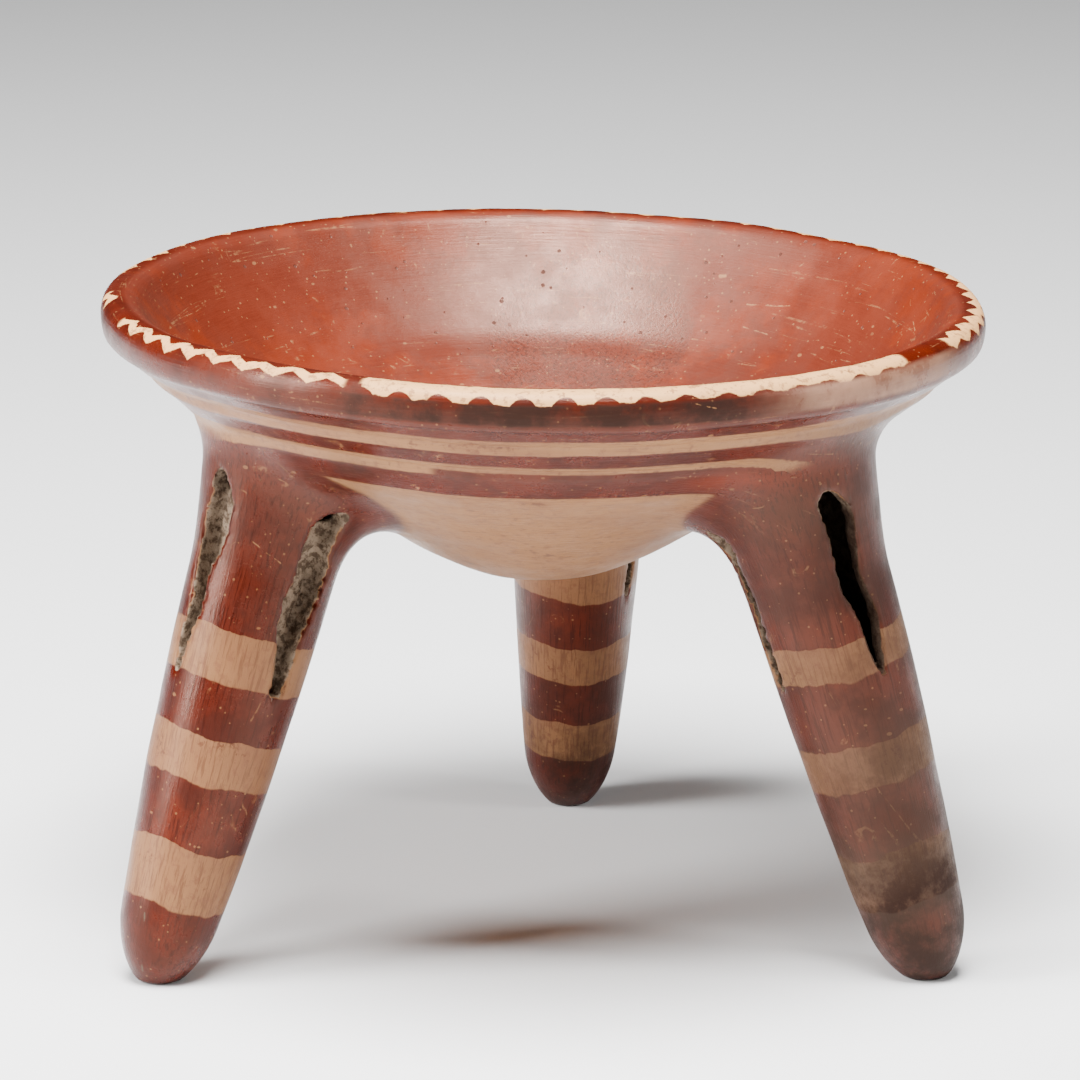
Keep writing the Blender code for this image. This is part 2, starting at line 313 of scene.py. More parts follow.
class Leg:
    """A leg's own frame, and everything measured in it."""

    def __init__(self, index, foot, lean, slits, stripes, red_reach):
        self.index = index
        self.tip = np.array([foot[0] * FOOT_CIRCLE_RADIUS, foot[1] * FOOT_CIRCLE_RADIUS, -FOOT_WEAR])
        self.axis = np.array([lean[0], lean[1], 1.0])
        self.axis /= np.linalg.norm(self.axis)
        outward = np.array([self.tip[0], self.tip[1], 0.0])
        outward -= self.axis * (outward @ self.axis)
        self.outward = outward / np.linalg.norm(outward)
        self.across = np.cross(self.axis, self.outward)
        self.slits = slits
        self.stripes = np.array(stripes) * MM
        self.red_reach = red_reach

    def place(self, points):
        """Distance along the axis, distance from it, and bearing about it from the outward side."""
        offset = points - self.tip
        along = offset @ self.axis
        x = offset @ self.outward
        y = offset @ self.across
        return along, np.hypot(x, y), np.arctan2(y, x)

    def slit_distance(self, points, along, radius, bearing):
        """Distance to the nearest slit's ragged wedge, negative in it, and the clay behind the slits."""
        best = np.full(len(points), 1.0)
        behind = np.zeros(len(points))
        grit = uneven(rough_noise, points, SLIT_CRUMBS) + uneven(rough_noise, points, SLIT_GRAINS)
        chips = rough_noise(points, 6 * MM)
        chips = np.sign(chips) * smoothstep(0.1, 0.5, np.abs(chips)) * 0.55 * MM
        for number, (top, tip, start, end, widest, extra, blunt) in enumerate(self.slits):
            phase = 1.7 * (1 + number + 2 * self.index)
            t = (along / LEG_LENGTH - start) / (end - start)
            inside = np.clip(t, 0, 1)
            width = widest * (blunt + (1 - blunt) * inside ** 0.7) * np.sqrt(1 - inside ** 8)
            width = width * (1 + 0.16 * np.sin(9 * inside + phase))
            middle = np.radians(tip + (top - tip) * inside) + 0.03 * np.sin(13 * inside + 2 * phase)
            turn = np.mod(bearing - middle + math.pi, math.tau) - math.pi
            side = np.abs(turn) * radius - width / 2 + grit + chips * smoothstep(0.15, 0.5, inside)
            ends = (np.abs(t - 0.5) - 0.5) * (end - start) * LEG_LENGTH
            depth = OPEN_SLIT_DEPTH if extra == 0 else LEG_WALL + extra * BACKED_SLIT_SHARE
            inward = leg_radius(along) - depth - radius + chips * 1.2
            best = np.minimum(best, np.maximum(np.maximum(side, ends), inward))
            filled_part = smoothstep(0.96, 0.86, t) * np.exp(-((turn / 0.6) ** 2))
            behind = np.maximum(behind, extra * filled_part)
        return best, behind


legs = [Leg(i, *values) for i, values in enumerate(LEGS.values())]


def bowl_place(points):
    """Radius and height in the bowl's own upright frame, wandering a little as hand-built clay does."""
    local = points @ from_world[:3, :3].T + from_world[:3, 3]
    height = local[:, 2] + BOWL_DEPTH
    radius = np.hypot(local[:, 0], local[:, 1])
    ring = np.stack([local[:, 0], local[:, 1], np.zeros(len(local))], 1)
    reach = smoothstep(0.3, 0.9, radius / RIM_RADIUS)
    wander = (noise(ring, 38 * MM) + 0.6) * 0.40 * MM * reach
    wobble = (noise(ring + 0.5, 30 * MM) + 0.8) * 0.30 * MM * reach
    return radius + wobble, height + wander


def smooth_union(a, b, reach):
    """The nearer of two distances, with the join between them rounded over the reach."""
    overlap = np.maximum(reach - np.abs(a - b), 0) / reach
    return np.minimum(a, b) - overlap * overlap * reach / 4


def measure(points):
    """Everything the surface and its paint need at the points: distances in metres."""
    radius, height = bowl_place(points)
    filled = filled_bowl(radius, height)
    hollow = hollow_bowl(radius, height)
    dents = uneven(noise, points, SMALL_DENTS) + uneven(noise, points, WIDE_DENTS)
    body = filled + dents
    cut = np.full(len(points), 1.0)
    near = np.full(len(points), 1.0)
    nearest = np.zeros(len(points), int)
    for leg in legs:
        along, off_axis, bearing = leg.place(points)
        close = np.flatnonzero((off_axis < WIDEST_LEG) & (along > -0.02) & (along < 0.16))
        if not len(close):
            continue
        some = points[close]
        along = along[close]
        off_axis = off_axis[close]
        bearing = bearing[close]
        skin = leg_table(along, off_axis) + dents[close] * 1.3
        reach = OUTER_BLEND + (INNER_BLEND - OUTER_BLEND) * (1 - np.cos(bearing)) / 2
        body[close] = smooth_union(body[close], skin, reach)
        rough = uneven(rough_noise, some, HOLLOW_CRUMBS) + uneven(rough_noise, some, HOLLOW_GRAINS)
        slit, behind = leg.slit_distance(some, along, off_axis, bearing)
        cavity = np.maximum(skin + LEG_WALL + behind + rough, 0.5 * MM - filled[close])
        cavity = np.maximum(cavity, CAVITY_START - along + off_axis * off_axis / 0.03)
        opening = np.minimum(cavity, slit)
        opening = np.maximum(opening, 0.3 * MM - filled[close])
        cut[close] = np.minimum(cut[close], opening)
        nearest[close] = np.where(skin < near[close], leg.index, nearest[close])
        near[close] = np.minimum(near[close], skin)
    body = np.maximum(body, -(hollow + dents * 0.6))
    body = np.maximum(body, -cut)
    body = np.maximum(body, -points[:, 2])
    return {
        "body": body, "cut": cut, "near": near, "nearest": nearest, "radius": radius, "height": height,
    }


def surface_net(values, origin, step):
    """Points and four-sided faces on the values' level zero, one point in each cell that it crosses."""
    inside = values < 0
    cells = np.zeros(tuple(n - 1 for n in values.shape), np.int8)
    offsets = [(c & 1, c >> 1 & 1, c >> 2 & 1) for c in range(8)]
    for dx, dy, dz in offsets:
        cells += inside[dx:dx + cells.shape[0], dy:dy + cells.shape[1], dz:dz + cells.shape[2]]
    active = np.argwhere((cells > 0) & (cells < 8))
    index = np.full(cells.shape, -1, np.int64)
    index[tuple(active.T)] = np.arange(len(active))
    total = np.zeros((len(active), 3))
    count = np.zeros(len(active))
    for a in range(8):
        for axis in range(3):
            if a >> axis & 1:
                continue
            start = active + np.array(offsets[a])
            end = start.copy()
            end[:, axis] += 1
            va = values[tuple(start.T)]
            vb = values[tuple(end.T)]
            crosses = (va < 0) != (vb < 0)
            share = np.where(crosses, va / np.where(crosses, va - vb, 1), 0)
            spot = start + share[:, None] * (end - start)
            total += np.where(crosses[:, None], spot, 0)
            count += crosses
    points = origin + total / count[:, None] * step
    faces = []
    for axis in range(3):
        first, second = [k for k in range(3) if k != axis]
        ahead = np.moveaxis(inside, axis, 0)
        change = np.argwhere(np.moveaxis(ahead[1:] != ahead[:-1], 0, axis))
        keep = (change[:, first] > 0) & (change[:, second] > 0)
        change = change[keep]
        shifts = [(0, 0), (1, 0), (1, 1), (0, 1)]
        quad = []
        for da, db in shifts:
            cell = change.copy()
            cell[:, first] -= da
            cell[:, second] -= db
            quad.append(index[tuple(cell.T)])
        quad = np.stack(quad, 1)
        outward = inside[tuple(change.T)]
        if axis == 1:
            outward = ~outward
        quad[~outward] = quad[~outward][:, ::-1]
        faces.append(quad)
    return points, np.concatenate(faces)


def settle(points, faces, rounds):
    """Evens the points out along the surface and brings them back onto its level zero."""
    edges = np.concatenate([faces[:, [0, 1]], faces[:, [1, 2]], faces[:, [2, 3]], faces[:, [3, 0]]])
    for turn in range(rounds):
        if turn < rounds - 1:
            total = np.zeros_like(points)
            count = np.zeros(len(points))
            for a, b in ((0, 1), (1, 0)):
                np.add.at(total, edges[:, a], points[edges[:, b]])
                np.add.at(count, edges[:, a], 1)
            points = points + 0.5 * (total / np.maximum(count, 1)[:, None] - points)
        nudge = 0.12 * MM
        level = measure(points)["body"]
        slope = np.stack([
            (measure(points + np.eye(3)[k] * nudge)["body"] - level) / nudge for k in range(3)
        ], 1)
        size = np.maximum((slope * slope).sum(1), 0.2)
        move = -slope * (level / size)[:, None]
        length = np.linalg.norm(move, axis=1)
        move *= (np.minimum(length, GRID_STEP * 0.6) / np.maximum(length, 1e-12))[:, None]
        points = points + move
    return points


def vessel_mesh():
    """The bowl and its legs as one fine mesh: level zero of the field, evened out and thinned out."""
    margin = 4 * MM
    step = GRID_STEP * 1.0
    low = np.array(low_corner) - margin
    counts = np.ceil((np.array(high_corner) + margin - low) / step).astype(int) + 1
    values = np.empty(tuple(counts), np.float32)
    ys = low[1] + np.arange(counts[1]) * step
    zs = low[2] + np.arange(counts[2]) * step
    sheet = np.stack(np.meshgrid(ys, zs, indexing="ij"), -1).reshape(-1, 2)
    for i in range(counts[0]):
        points = np.concatenate([np.full((len(sheet), 1), low[0] + i * step), sheet], 1)
        values[i] = near_field(points).reshape(counts[1], counts[2])
    points, faces = surface_net(values, low, step)
    points = settle(points, faces, 3)
    points = np.clip(points, np.array(low_corner), np.array(high_corner))
    mesh = bpy.data.meshes.new("vessel")
    mesh.from_pydata(points.tolist(), [], faces.tolist())
    mesh.validate()
    obj = bpy.data.objects.new("vessel", mesh)
    bpy.context.scene.collection.objects.link(obj)
    triangles = 2 * len(mesh.polygons)
    if triangles > MOST_TRIANGLES:
        thin = obj.modifiers.new("thin_out", "DECIMATE")
        thin.ratio = MOST_TRIANGLES / triangles
        graph = bpy.context.evaluated_depsgraph_get()
        lighter = bpy.data.meshes.new_from_object(obj.evaluated_get(graph))
        obj.modifiers.clear()
        obj.data = lighter
        bpy.data.meshes.remove(mesh)
    keep_largest(obj)
    obj.data.shade_smooth()
    return obj


def near_field(points):
    """The level at the points, worked out fully only within a few millimetres of the clay."""
    local = points @ from_world[:3, :3].T + from_world[:3, 3]
    radius = np.hypot(local[:, 0], local[:, 1])
    height = local[:, 2] + BOWL_DEPTH
    rough = np.maximum(filled_bowl(radius, height), -hollow_bowl(radius, height))
    for leg in legs:
        along, off_axis, _ = leg.place(points)
        rough = np.minimum(rough, leg_table(along, off_axis))
    near = np.flatnonzero((np.abs(rough) < 7 * MM) | (rough < 0))
    level = np.where(rough > 0, rough, -2 * MM)
    if len(near):
        level[near] = measure(points[near])["body"]
    return level


def keep_largest(obj):
    """Drops crumbs of clay that the ragged cuts leave loose."""
    count = len(obj.data.vertices)
    ends = np.empty(len(obj.data.edges) * 2, np.int64)
    obj.data.edges.foreach_get("vertices", ends)
    ends = ends.reshape(-1, 2)
    label = np.arange(count)
    while True:
        least = np.minimum(label[ends[:, 0]], label[ends[:, 1]])
        before = label.copy()
        np.minimum.at(label, ends[:, 0], least)
        np.minimum.at(label, ends[:, 1], least)
        label = label[label]
        if (label == before).all():
            break
    names, sizes = np.unique(label, return_counts=True)
    loose = np.flatnonzero(label != names[np.argmax(sizes)])
    if not len(loose):
        return
    work = bmesh.new()
    work.from_mesh(obj.data)
    work.verts.ensure_lookup_table()
    bmesh.ops.delete(work, geom=[work.verts[i] for i in loose], context="VERTS")
    work.to_mesh(obj.data)
    work.free()


outline = np.concatenate([outer, inner[1:]])
outline_lengths = np.concatenate([[0], np.cumsum(np.linalg.norm(np.diff(outline, axis=0), axis=1))])
CREST_LENGTH = outline_lengths[len(outer) - 1]


def run_from_crest(points_2d):
    """Distance along the turned outline from the lip's crest: below zero outside, above zero inside."""
    best = np.full(len(points_2d), 1e9)
    run = np.zeros(len(points_2d))
    for i in range(0, len(outline) - 1, 2):
        a = outline[i]
        b = outline[min(i + 2, len(outline) - 1)]
        edge = b - a
        size = edge @ edge
        if size < 1e-16:
            continue
        share = np.clip(((points_2d - a) @ edge) / size, 0, 1)
        gap = points_2d - a - share[:, None] * edge
        gap = (gap * gap).sum(1)
        nearer = gap < best
        best = np.where(nearer, gap, best)
        run = np.where(nearer, outline_lengths[i] + share * math.sqrt(size), run)
    return run - CREST_LENGTH


def blob(points, centre, size):
    """One at the centre, falling away over the size."""
    gap = (points - np.array(centre)) / np.array(size)
    return np.exp(-(gap * gap).sum(1))


# Soft stains by place: centre and size in metres, and strength. The soot and ash patches on the right
# leg are partly painted shade that darkens that side
SOOT_AND_SHADE = (
    ((0.097, -0.055, 0.010), (0.024, 0.024, 0.020), 1.0),
    ((0.007, 0.080, 0.008), (0.03, 0.03, 0.018), 0.60),
    ((0.104, -0.045, 0.040), (0.007, 0.03, 0.030), 0.40),
    ((0.085, -0.050, 0.045), (0.030, 0.05, 0.050), 0.62),
    ((0.070, -0.045, 0.105), (0.022, 0.03, 0.024), 0.50),
    ((0.010, 0.080, 0.045), (0.030, 0.05, 0.040), 0.30),
    ((-0.045, -0.080, 0.134), (0.006, 0.03, 0.004), 0.50),
    ((0.076, -0.075, 0.118), (0.010, 0.03, 0.004), 0.35),
    ((-0.075, -0.040, 0.125), (0.010, 0.03, 0.008), 0.25),
)
ASH_AND_SHADE = (
    ((0.088, -0.056, 0.029), (0.022, 0.02, 0.011), 1.0),
    ((0.088, -0.070, 0.058), (0.018, 0.02, 0.010), 0.6),
    ((0.104, -0.045, 0.075), (0.007, 0.03, 0.030), 0.6),
    ((0.082, -0.050, 0.060), (0.030, 0.05, 0.045), 0.40),
    ((0.060, -0.060, 0.122), (0.016, 0.03, 0.008), 0.9),
    ((0.078, -0.066, 0.140), (0.030, 0.03, 0.005), 0.5),
    ((-0.050, -0.060, 0.124), (0.012, 0.03, 0.008), 0.4),
    ((-0.100, -0.010, 0.152), (0.010, 0.03, 0.006), 0.6),
)
WARM = (
    ((0.045, -0.078, 0.131), (0.013, 0.03, 0.003), 1.0),
    ((-0.060, 0.050, 0.145), (0.040, 0.04, 0.020), 0.6),
    ((0.070, 0.045, 0.150), (0.030, 0.04, 0.014), 0.8),
    ((-0.078, -0.030, 0.142), (0.014, 0.03, 0.012), 0.7),
    ((0.098, -0.020, 0.092), (0.010, 0.03, 0.012), 0.6),
)


def add_attribute(mesh, name, values):
    kind = "FLOAT_VECTOR" if values.ndim == 2 else "FLOAT"
    layer = mesh.attributes.new(name, kind, "POINT")
    layer.data.foreach_set("vector" if values.ndim == 2 else "value", values.astype(np.float32).ravel())


def add_paint_coordinates(obj):
    """Gives the material each point's place along the outline and the leg, and the stains and painted
    shade on it.
    """
    mesh = obj.data
    points = np.empty(len(mesh.vertices) * 3, np.float32)
    mesh.vertices.foreach_get("co", points)
    points = points.reshape(-1, 3).astype(float)
    facts = measure(points)
    flat = np.stack([facts["radius"], facts["height"]], 1)
    run = run_from_crest(flat)
    add_attribute(mesh, "run", run / MM)
    add_attribute(mesh, "near_leg", facts["near"] / MM)
    reaches = np.array([leg.red_reach for leg in legs])
    add_attribute(mesh, "web", np.minimum(facts["near"] / MM / reaches[facts["nearest"]], 9.0))
    add_attribute(mesh, "cut", facts["cut"] / MM)
    stripe = np.zeros(len(points))
    grain = np.zeros((len(points), 3))
    for leg in legs:
        mine = facts["nearest"] == leg.index
        along, off_axis, bearing = leg.place(points[mine])
        marks = np.arange(1, len(leg.stripes) + 1)
        edges = np.concatenate([[leg.stripes[0] - 16 * MM], leg.stripes, [leg.stripes[-1] + 60 * MM]])
        stripe[mine] = np.interp(along, edges, np.concatenate([[0], marks, [marks[-1] + 4]]))
        grain[mine] = np.stack([
            np.cos(bearing) * off_axis, np.sin(bearing) * off_axis, along + leg.index * 0.4
        ], 1) / MM
    add_attribute(mesh, "stripe", stripe)
    add_attribute(mesh, "grain", grain)
    for name, stains in (("soot_and_shade", SOOT_AND_SHADE), ("ash_and_shade", ASH_AND_SHADE), ("warm", WARM)):
        total = sum(blob(points, centre, size) * strength for centre, size, strength in stains)
        add_attribute(mesh, name, np.clip(total, 0, 1))


class Graph:
    """Short words for building a material's nodes."""

    def __init__(self, name):
        self.material = bpy.data.materials.new(name)
        self.material.use_nodes = True
        self.nodes = self.material.node_tree.nodes
        self.links = self.material.node_tree.links
        self.nodes.clear()
        self.output = self.nodes.new("ShaderNodeOutputMaterial")
        self.shader = self.nodes.new("ShaderNodeBsdfPrincipled")
        self.links.new(self.shader.outputs[0], self.output.inputs["Surface"])

    def feed(self, socket, value):
        if hasattr(value, "is_output"):
            self.links.new(value, socket)
        elif isinstance(value, tuple) and len(value) == 3 and socket.type == "RGBA":
            socket.default_value = (*value, 1.0)
        else:
            socket.default_value = value

    def math(self, operation, first, second=0.0):
        node = self.nodes.new("ShaderNodeMath")
        node.operation = operation
        self.feed(node.inputs[0], first)
        self.feed(node.inputs[1], second)
        return node.outputs[0]

    def add(self, first, second):
        return self.math("ADD", first, second)

    def times(self, first, second):
        return self.math("MULTIPLY", first, second)

    def step(self, value, low, high, start=0.0, end=1.0):
        """A smooth rise from start to end while the value goes from low to high."""
        node = self.nodes.new("ShaderNodeMapRange")
        node.interpolation_type = "SMOOTHSTEP"
        names = ("Value", "From Min", "From Max", "To Min", "To Max")
        for name, given in zip(names, (value, low, high, start, end)):
            self.feed(node.inputs[name], given)
        return node.outputs[0]

    def band(self, value, low, high, soft):
        """One between low and high, with soft edges."""
        rise = self.step(value, low - soft, low + soft)
        fall = self.step(value, high - soft, high + soft, 1.0, 0.0)
        return self.times(rise, fall)

    def attribute(self, name, vector=False):
        node = self.nodes.new("ShaderNodeAttribute")
        node.attribute_name = name
        return node.outputs["Vector" if vector else "Fac"]

    def place(self):
        return self.nodes.new("ShaderNodeTexCoord").outputs["Object"]

    def scaled(self, vector, scale):
        node = self.nodes.new("ShaderNodeVectorMath")
        node.operation = "MULTIPLY"
        self.feed(node.inputs[0], vector)
        node.inputs[1].default_value = scale
        return node.outputs[0]

    def stretched(self, vector, scale, offset):
        """The vector times the scale, plus the offset."""
        node = self.nodes.new("ShaderNodeVectorMath")
        node.operation = "MULTIPLY_ADD"
        self.feed(node.inputs[0], vector)
        node.inputs[1].default_value = scale
        self.feed(node.inputs[2], offset)
        return node.outputs[0]

    def spots(self, vector, scale, size, share):
        """Round spots: one in each cell that a random draw keeps."""
        node = self.nodes.new("ShaderNodeTexVoronoi")
        self.feed(node.inputs["Vector"], vector)
        node.inputs["Scale"].default_value = scale
        draw = self.parts(node.outputs["Color"])
        reach = self.times(size, self.add(0.4, draw[1]))
        inside = self.math("SUBTRACT", reach, node.outputs["Distance"])
        return self.times(self.step(inside, -0.02, 0.05), self.step(draw[0], 1.0 - share, 1.02 - share))

    def hairs(self, vector, scale, width, gate):
        """Thin wandering lines, kept where the gate noise is high."""
        lines = self.math("ABSOLUTE", self.add(self.noise(vector, scale, 1.0, 0.4, 0.4), -0.5))
        kept = self.step(self.noise(vector, scale * 0.8, 2.0), gate, gate + 0.06)
        return self.times(self.step(lines, width, width * 2.2, 1.0, 0.0), kept)

    def segment(self, vector, start, end, width):
        """Distance from a straight line between two places, in widths of the line."""
        span = Vector(end) - Vector(start)
        node = self.nodes.new("ShaderNodeVectorMath")
        node.operation = "SUBTRACT"
        self.feed(node.inputs[0], vector)
        node.inputs[1].default_value = start
        dot = self.nodes.new("ShaderNodeVectorMath")
        dot.operation = "DOT_PRODUCT"
        self.feed(dot.inputs[0], node.outputs[0])
        dot.inputs[1].default_value = span / span.length_squared
        share = self.math("MINIMUM", self.math("MAXIMUM", dot.outputs["Value"], 0.0), 1.0)
        along = self.nodes.new("ShaderNodeVectorMath")
        along.operation = "SCALE"
        along.inputs[0].default_value = span
        self.feed(along.inputs["Scale"], share)
        gap = self.nodes.new("ShaderNodeVectorMath")
        gap.operation = "DISTANCE"
        self.feed(gap.inputs[0], node.outputs[0])
        self.feed(gap.inputs[1], along.outputs[0])
        return self.times(gap.outputs["Value"], 1.0 / width)

    def segments(self, vector, lines):
        """One on any of the thin lines, each given by its start, end and width, with soft edges."""
        nearest = 2.0
        for start, end, width in lines:
            nearest = self.math("MINIMUM", nearest, self.segment(vector, start, end, width))
        return self.step(nearest, 0.5, 1.0, 1.0, 0.0)

    def noise(self, vector, scale, detail=2.0, roughness=0.5, distortion=0.0):
        node = self.nodes.new("ShaderNodeTexNoise")
        self.feed(node.inputs["Vector"], vector)
        node.inputs["Scale"].default_value = scale
        node.inputs["Detail"].default_value = detail
        node.inputs["Roughness"].default_value = roughness
        node.inputs["Distortion"].default_value = distortion
        return node.outputs["Fac"]

    def mix(self, share, first, second):
        """A colour between two, which are the first at share zero and the second at one."""
        node = self.nodes.new("ShaderNodeMix")
        node.data_type = "RGBA"
        self.feed(node.inputs[0], share)
        self.feed(node.inputs[6], first)
        self.feed(node.inputs[7], second)
        return node.outputs[2]

    def parts(self, vector):
        node = self.nodes.new("ShaderNodeSeparateXYZ")
        self.feed(node.inputs[0], vector)
        return node.outputs

    def vector(self, x, y, z):
        node = self.nodes.new("ShaderNodeCombineXYZ")
        for socket, value in zip(node.inputs, (x, y, z)):
            self.feed(socket, value)
        return node.outputs[0]


# Slips, stains, painted shade, a painted highlight and bare clay, as the shader's own linear colours
RED = (0.055, 0.0048, 0.0014)
DARK_RED = (0.021, 0.0016, 0.0006)
ORANGE_RED = (0.115, 0.0120, 0.0020)
DULL_RED = (0.060, 0.0100, 0.0055)
INNER_RED = (0.092, 0.0135, 0.0058)
CREAM = (0.230, 0.108, 0.044)
LEG_CREAM = (0.185, 0.085, 0.036)
PALE_CREAM = (0.580, 0.310, 0.125)
# Pale pink of the painted highlight on the lip
LIP_PAINTED_HIGHLIGHT = (0.300, 0.165, 0.105)
PINK_CREAM = (0.130, 0.050, 0.025)
STREAK_BROWN = (0.080, 0.030, 0.014)
GREY = (0.036, 0.026, 0.018)
SOOT_AND_SHADE_BROWN = (0.008, 0.0018, 0.0009)
RAW_CLAY = (0.190, 0.138, 0.095)
RAW_DARK = (0.055, 0.036, 0.023)

# Teeth of the zigzag round the whole rim
TEETH = 71

# Edges of the painted bands, the painted shade and the painted highlight, in millimetres from the lip's
# crest along the outer side
RIBBON_TOP = 0.8
RIBBON_FOOT = -5.2
LIP_SHADE_BAND = (-10.4, -5.0)
PAINTED_HIGHLIGHT_BAND = (-10.5, -4.5)
CREASE_SHADE = (-13.9, -12.5)
LINE_ONE = (-25.4, -18.5)
LINE_TWO = (-37.4, -32.3)
WIDE_LINE_TWO = (-39.2, -32.5)
UNDERSIDE_EDGE = -48.0

# Bearings round the rim from the front, in radians, positive to the right
SOLID_RIBBON = (-0.400, 0.925)
LIP_SHADE_FRONT = (-0.48, 0.50)
PAINTED_HIGHLIGHT_FRONT = (0.56, 1.10)
BARE_GAPS = ((-0.440, -0.405), (0.920, 1.115), (-1.420, -1.245), (-1.75, -1.53))

# Cracks and long scratches: ends in metres and width
CRACKS = (
    ((-0.0803, -0.0432, 0.1185), (-0.0770, -0.0440, 0.1145), 0.00035),
    ((-0.0548, -0.0459, 0.0967), (-0.0530, -0.0432, 0.0950), 0.00035),
    ((-0.0963, -0.0596, 0.0225), (-0.0973, -0.0573, 0.0023), 0.00030),
    ((-0.0145, -0.0991, 0.1459), (-0.0053, -0.1003, 0.1461), 0.00022),
    ((0.0086, -0.0993, 0.1450), (0.0179, -0.0978, 0.1441), 0.00022),
)
SCRATCHES = (
    ((-0.0708, -0.0518, 0.1127), (-0.0612, -0.0520, 0.1048), 0.00022),
    ((0.0533, 0.0714, 0.1432), (0.0639, 0.0638, 0.1443), 0.00030),
    ((0.0718, 0.0562, 0.1454), (0.0855, 0.0373, 0.1480), 0.00032),
    ((0.0522, 0.0668, 0.1384), (0.0582, 0.0608, 0.1376), 0.00030),
    ((0.0626, 0.0557, 0.1371), (0.0709, 0.0476, 0.1389), 0.00022),
    ((0.0928, 0.0246, 0.1512), (0.0932, 0.0143, 0.1488), 0.00022),
    ((-0.0790, 0.0429, 0.1457), (-0.0742, 0.0483, 0.1440), 0.00030),
    ((-0.0703, 0.0526, 0.1431), (-0.0644, 0.0582, 0.1419), 0.00030),
    ((-0.0881, 0.0339, 0.1513), (-0.0822, 0.0473, 0.1520), 0.00026),
    ((-0.0633, 0.0558, 0.1392), (-0.0604, 0.0614, 0.1411), 0.00022),
    ((0.0412, 0.0841, 0.1490), (0.0566, 0.0776, 0.1520), 0.00018),
    ((0.0039, -0.1089, 0.1576), (0.0076, -0.1089, 0.1539), 0.00024),
    ((0.0338, -0.1033, 0.1577), (0.0445, -0.0995, 0.1545), 0.00024),
    ((0.0713, -0.0605, 0.0507), (0.0770, -0.0629, 0.0509), 0.00050),
    ((0.0770, -0.0629, 0.0509), (0.0761, -0.0621, 0.0471), 0.00050),
    ((0.0468, 0.0808, 0.1486), (0.0478, 0.0803, 0.1488), 0.00080),
)


def ribbon(g, run, angle, specks, lumps):
    """The cream ribbon on the lip: solid with a scalloped foot in front, a zigzag round the rest."""
    tooth = g.math("PINGPONG", g.times(angle, TEETH / math.tau), 0.5)
    ragged = g.add(g.times(g.add(lumps, -0.5), 2.6), g.times(g.add(specks, -0.5), 1.2))
    level = g.add(run, ragged)
    off_bump = g.times(g.math("SUBTRACT", 0.5, tooth), 3.2)
    bump = g.math("MAXIMUM", g.math("SUBTRACT", 1.0, g.times(off_bump, off_bump)), 0.0)
    rightward = g.step(angle, 0.12, 0.40)
    scallop = g.times(bump, g.math("SUBTRACT", 1.8, rightward))
    foot = g.add(g.add(scallop, RIBBON_FOOT), g.times(rightward, 0.8))
    above_foot = g.step(g.math("SUBTRACT", level, foot), -0.2, 0.2)
    below_top = g.step(level, RIBBON_TOP, RIBBON_TOP + 0.4, 1.0, 0.0)
    solid = g.times(above_foot, below_top)
    middle = g.add(g.times(tooth, 5.0), -3.5)
    off_middle = g.math("ABSOLUTE", g.math("SUBTRACT", level, middle))
    half_width = g.add(1.3, g.times(g.step(angle, 0.8, 1.0), 0.5))
    zigzag = g.step(g.math("SUBTRACT", off_middle, half_width), -0.1, 0.3, 1.0, 0.0)
    front = g.band(angle, *SOLID_RIBBON, 0.003)
    mask = g.parts(g.mix(front, zigzag, solid))[0]
    for low, high in BARE_GAPS:
        mask = g.times(mask, g.math("SUBTRACT", 1.0, g.band(angle, low, high, 0.008)))
    return mask


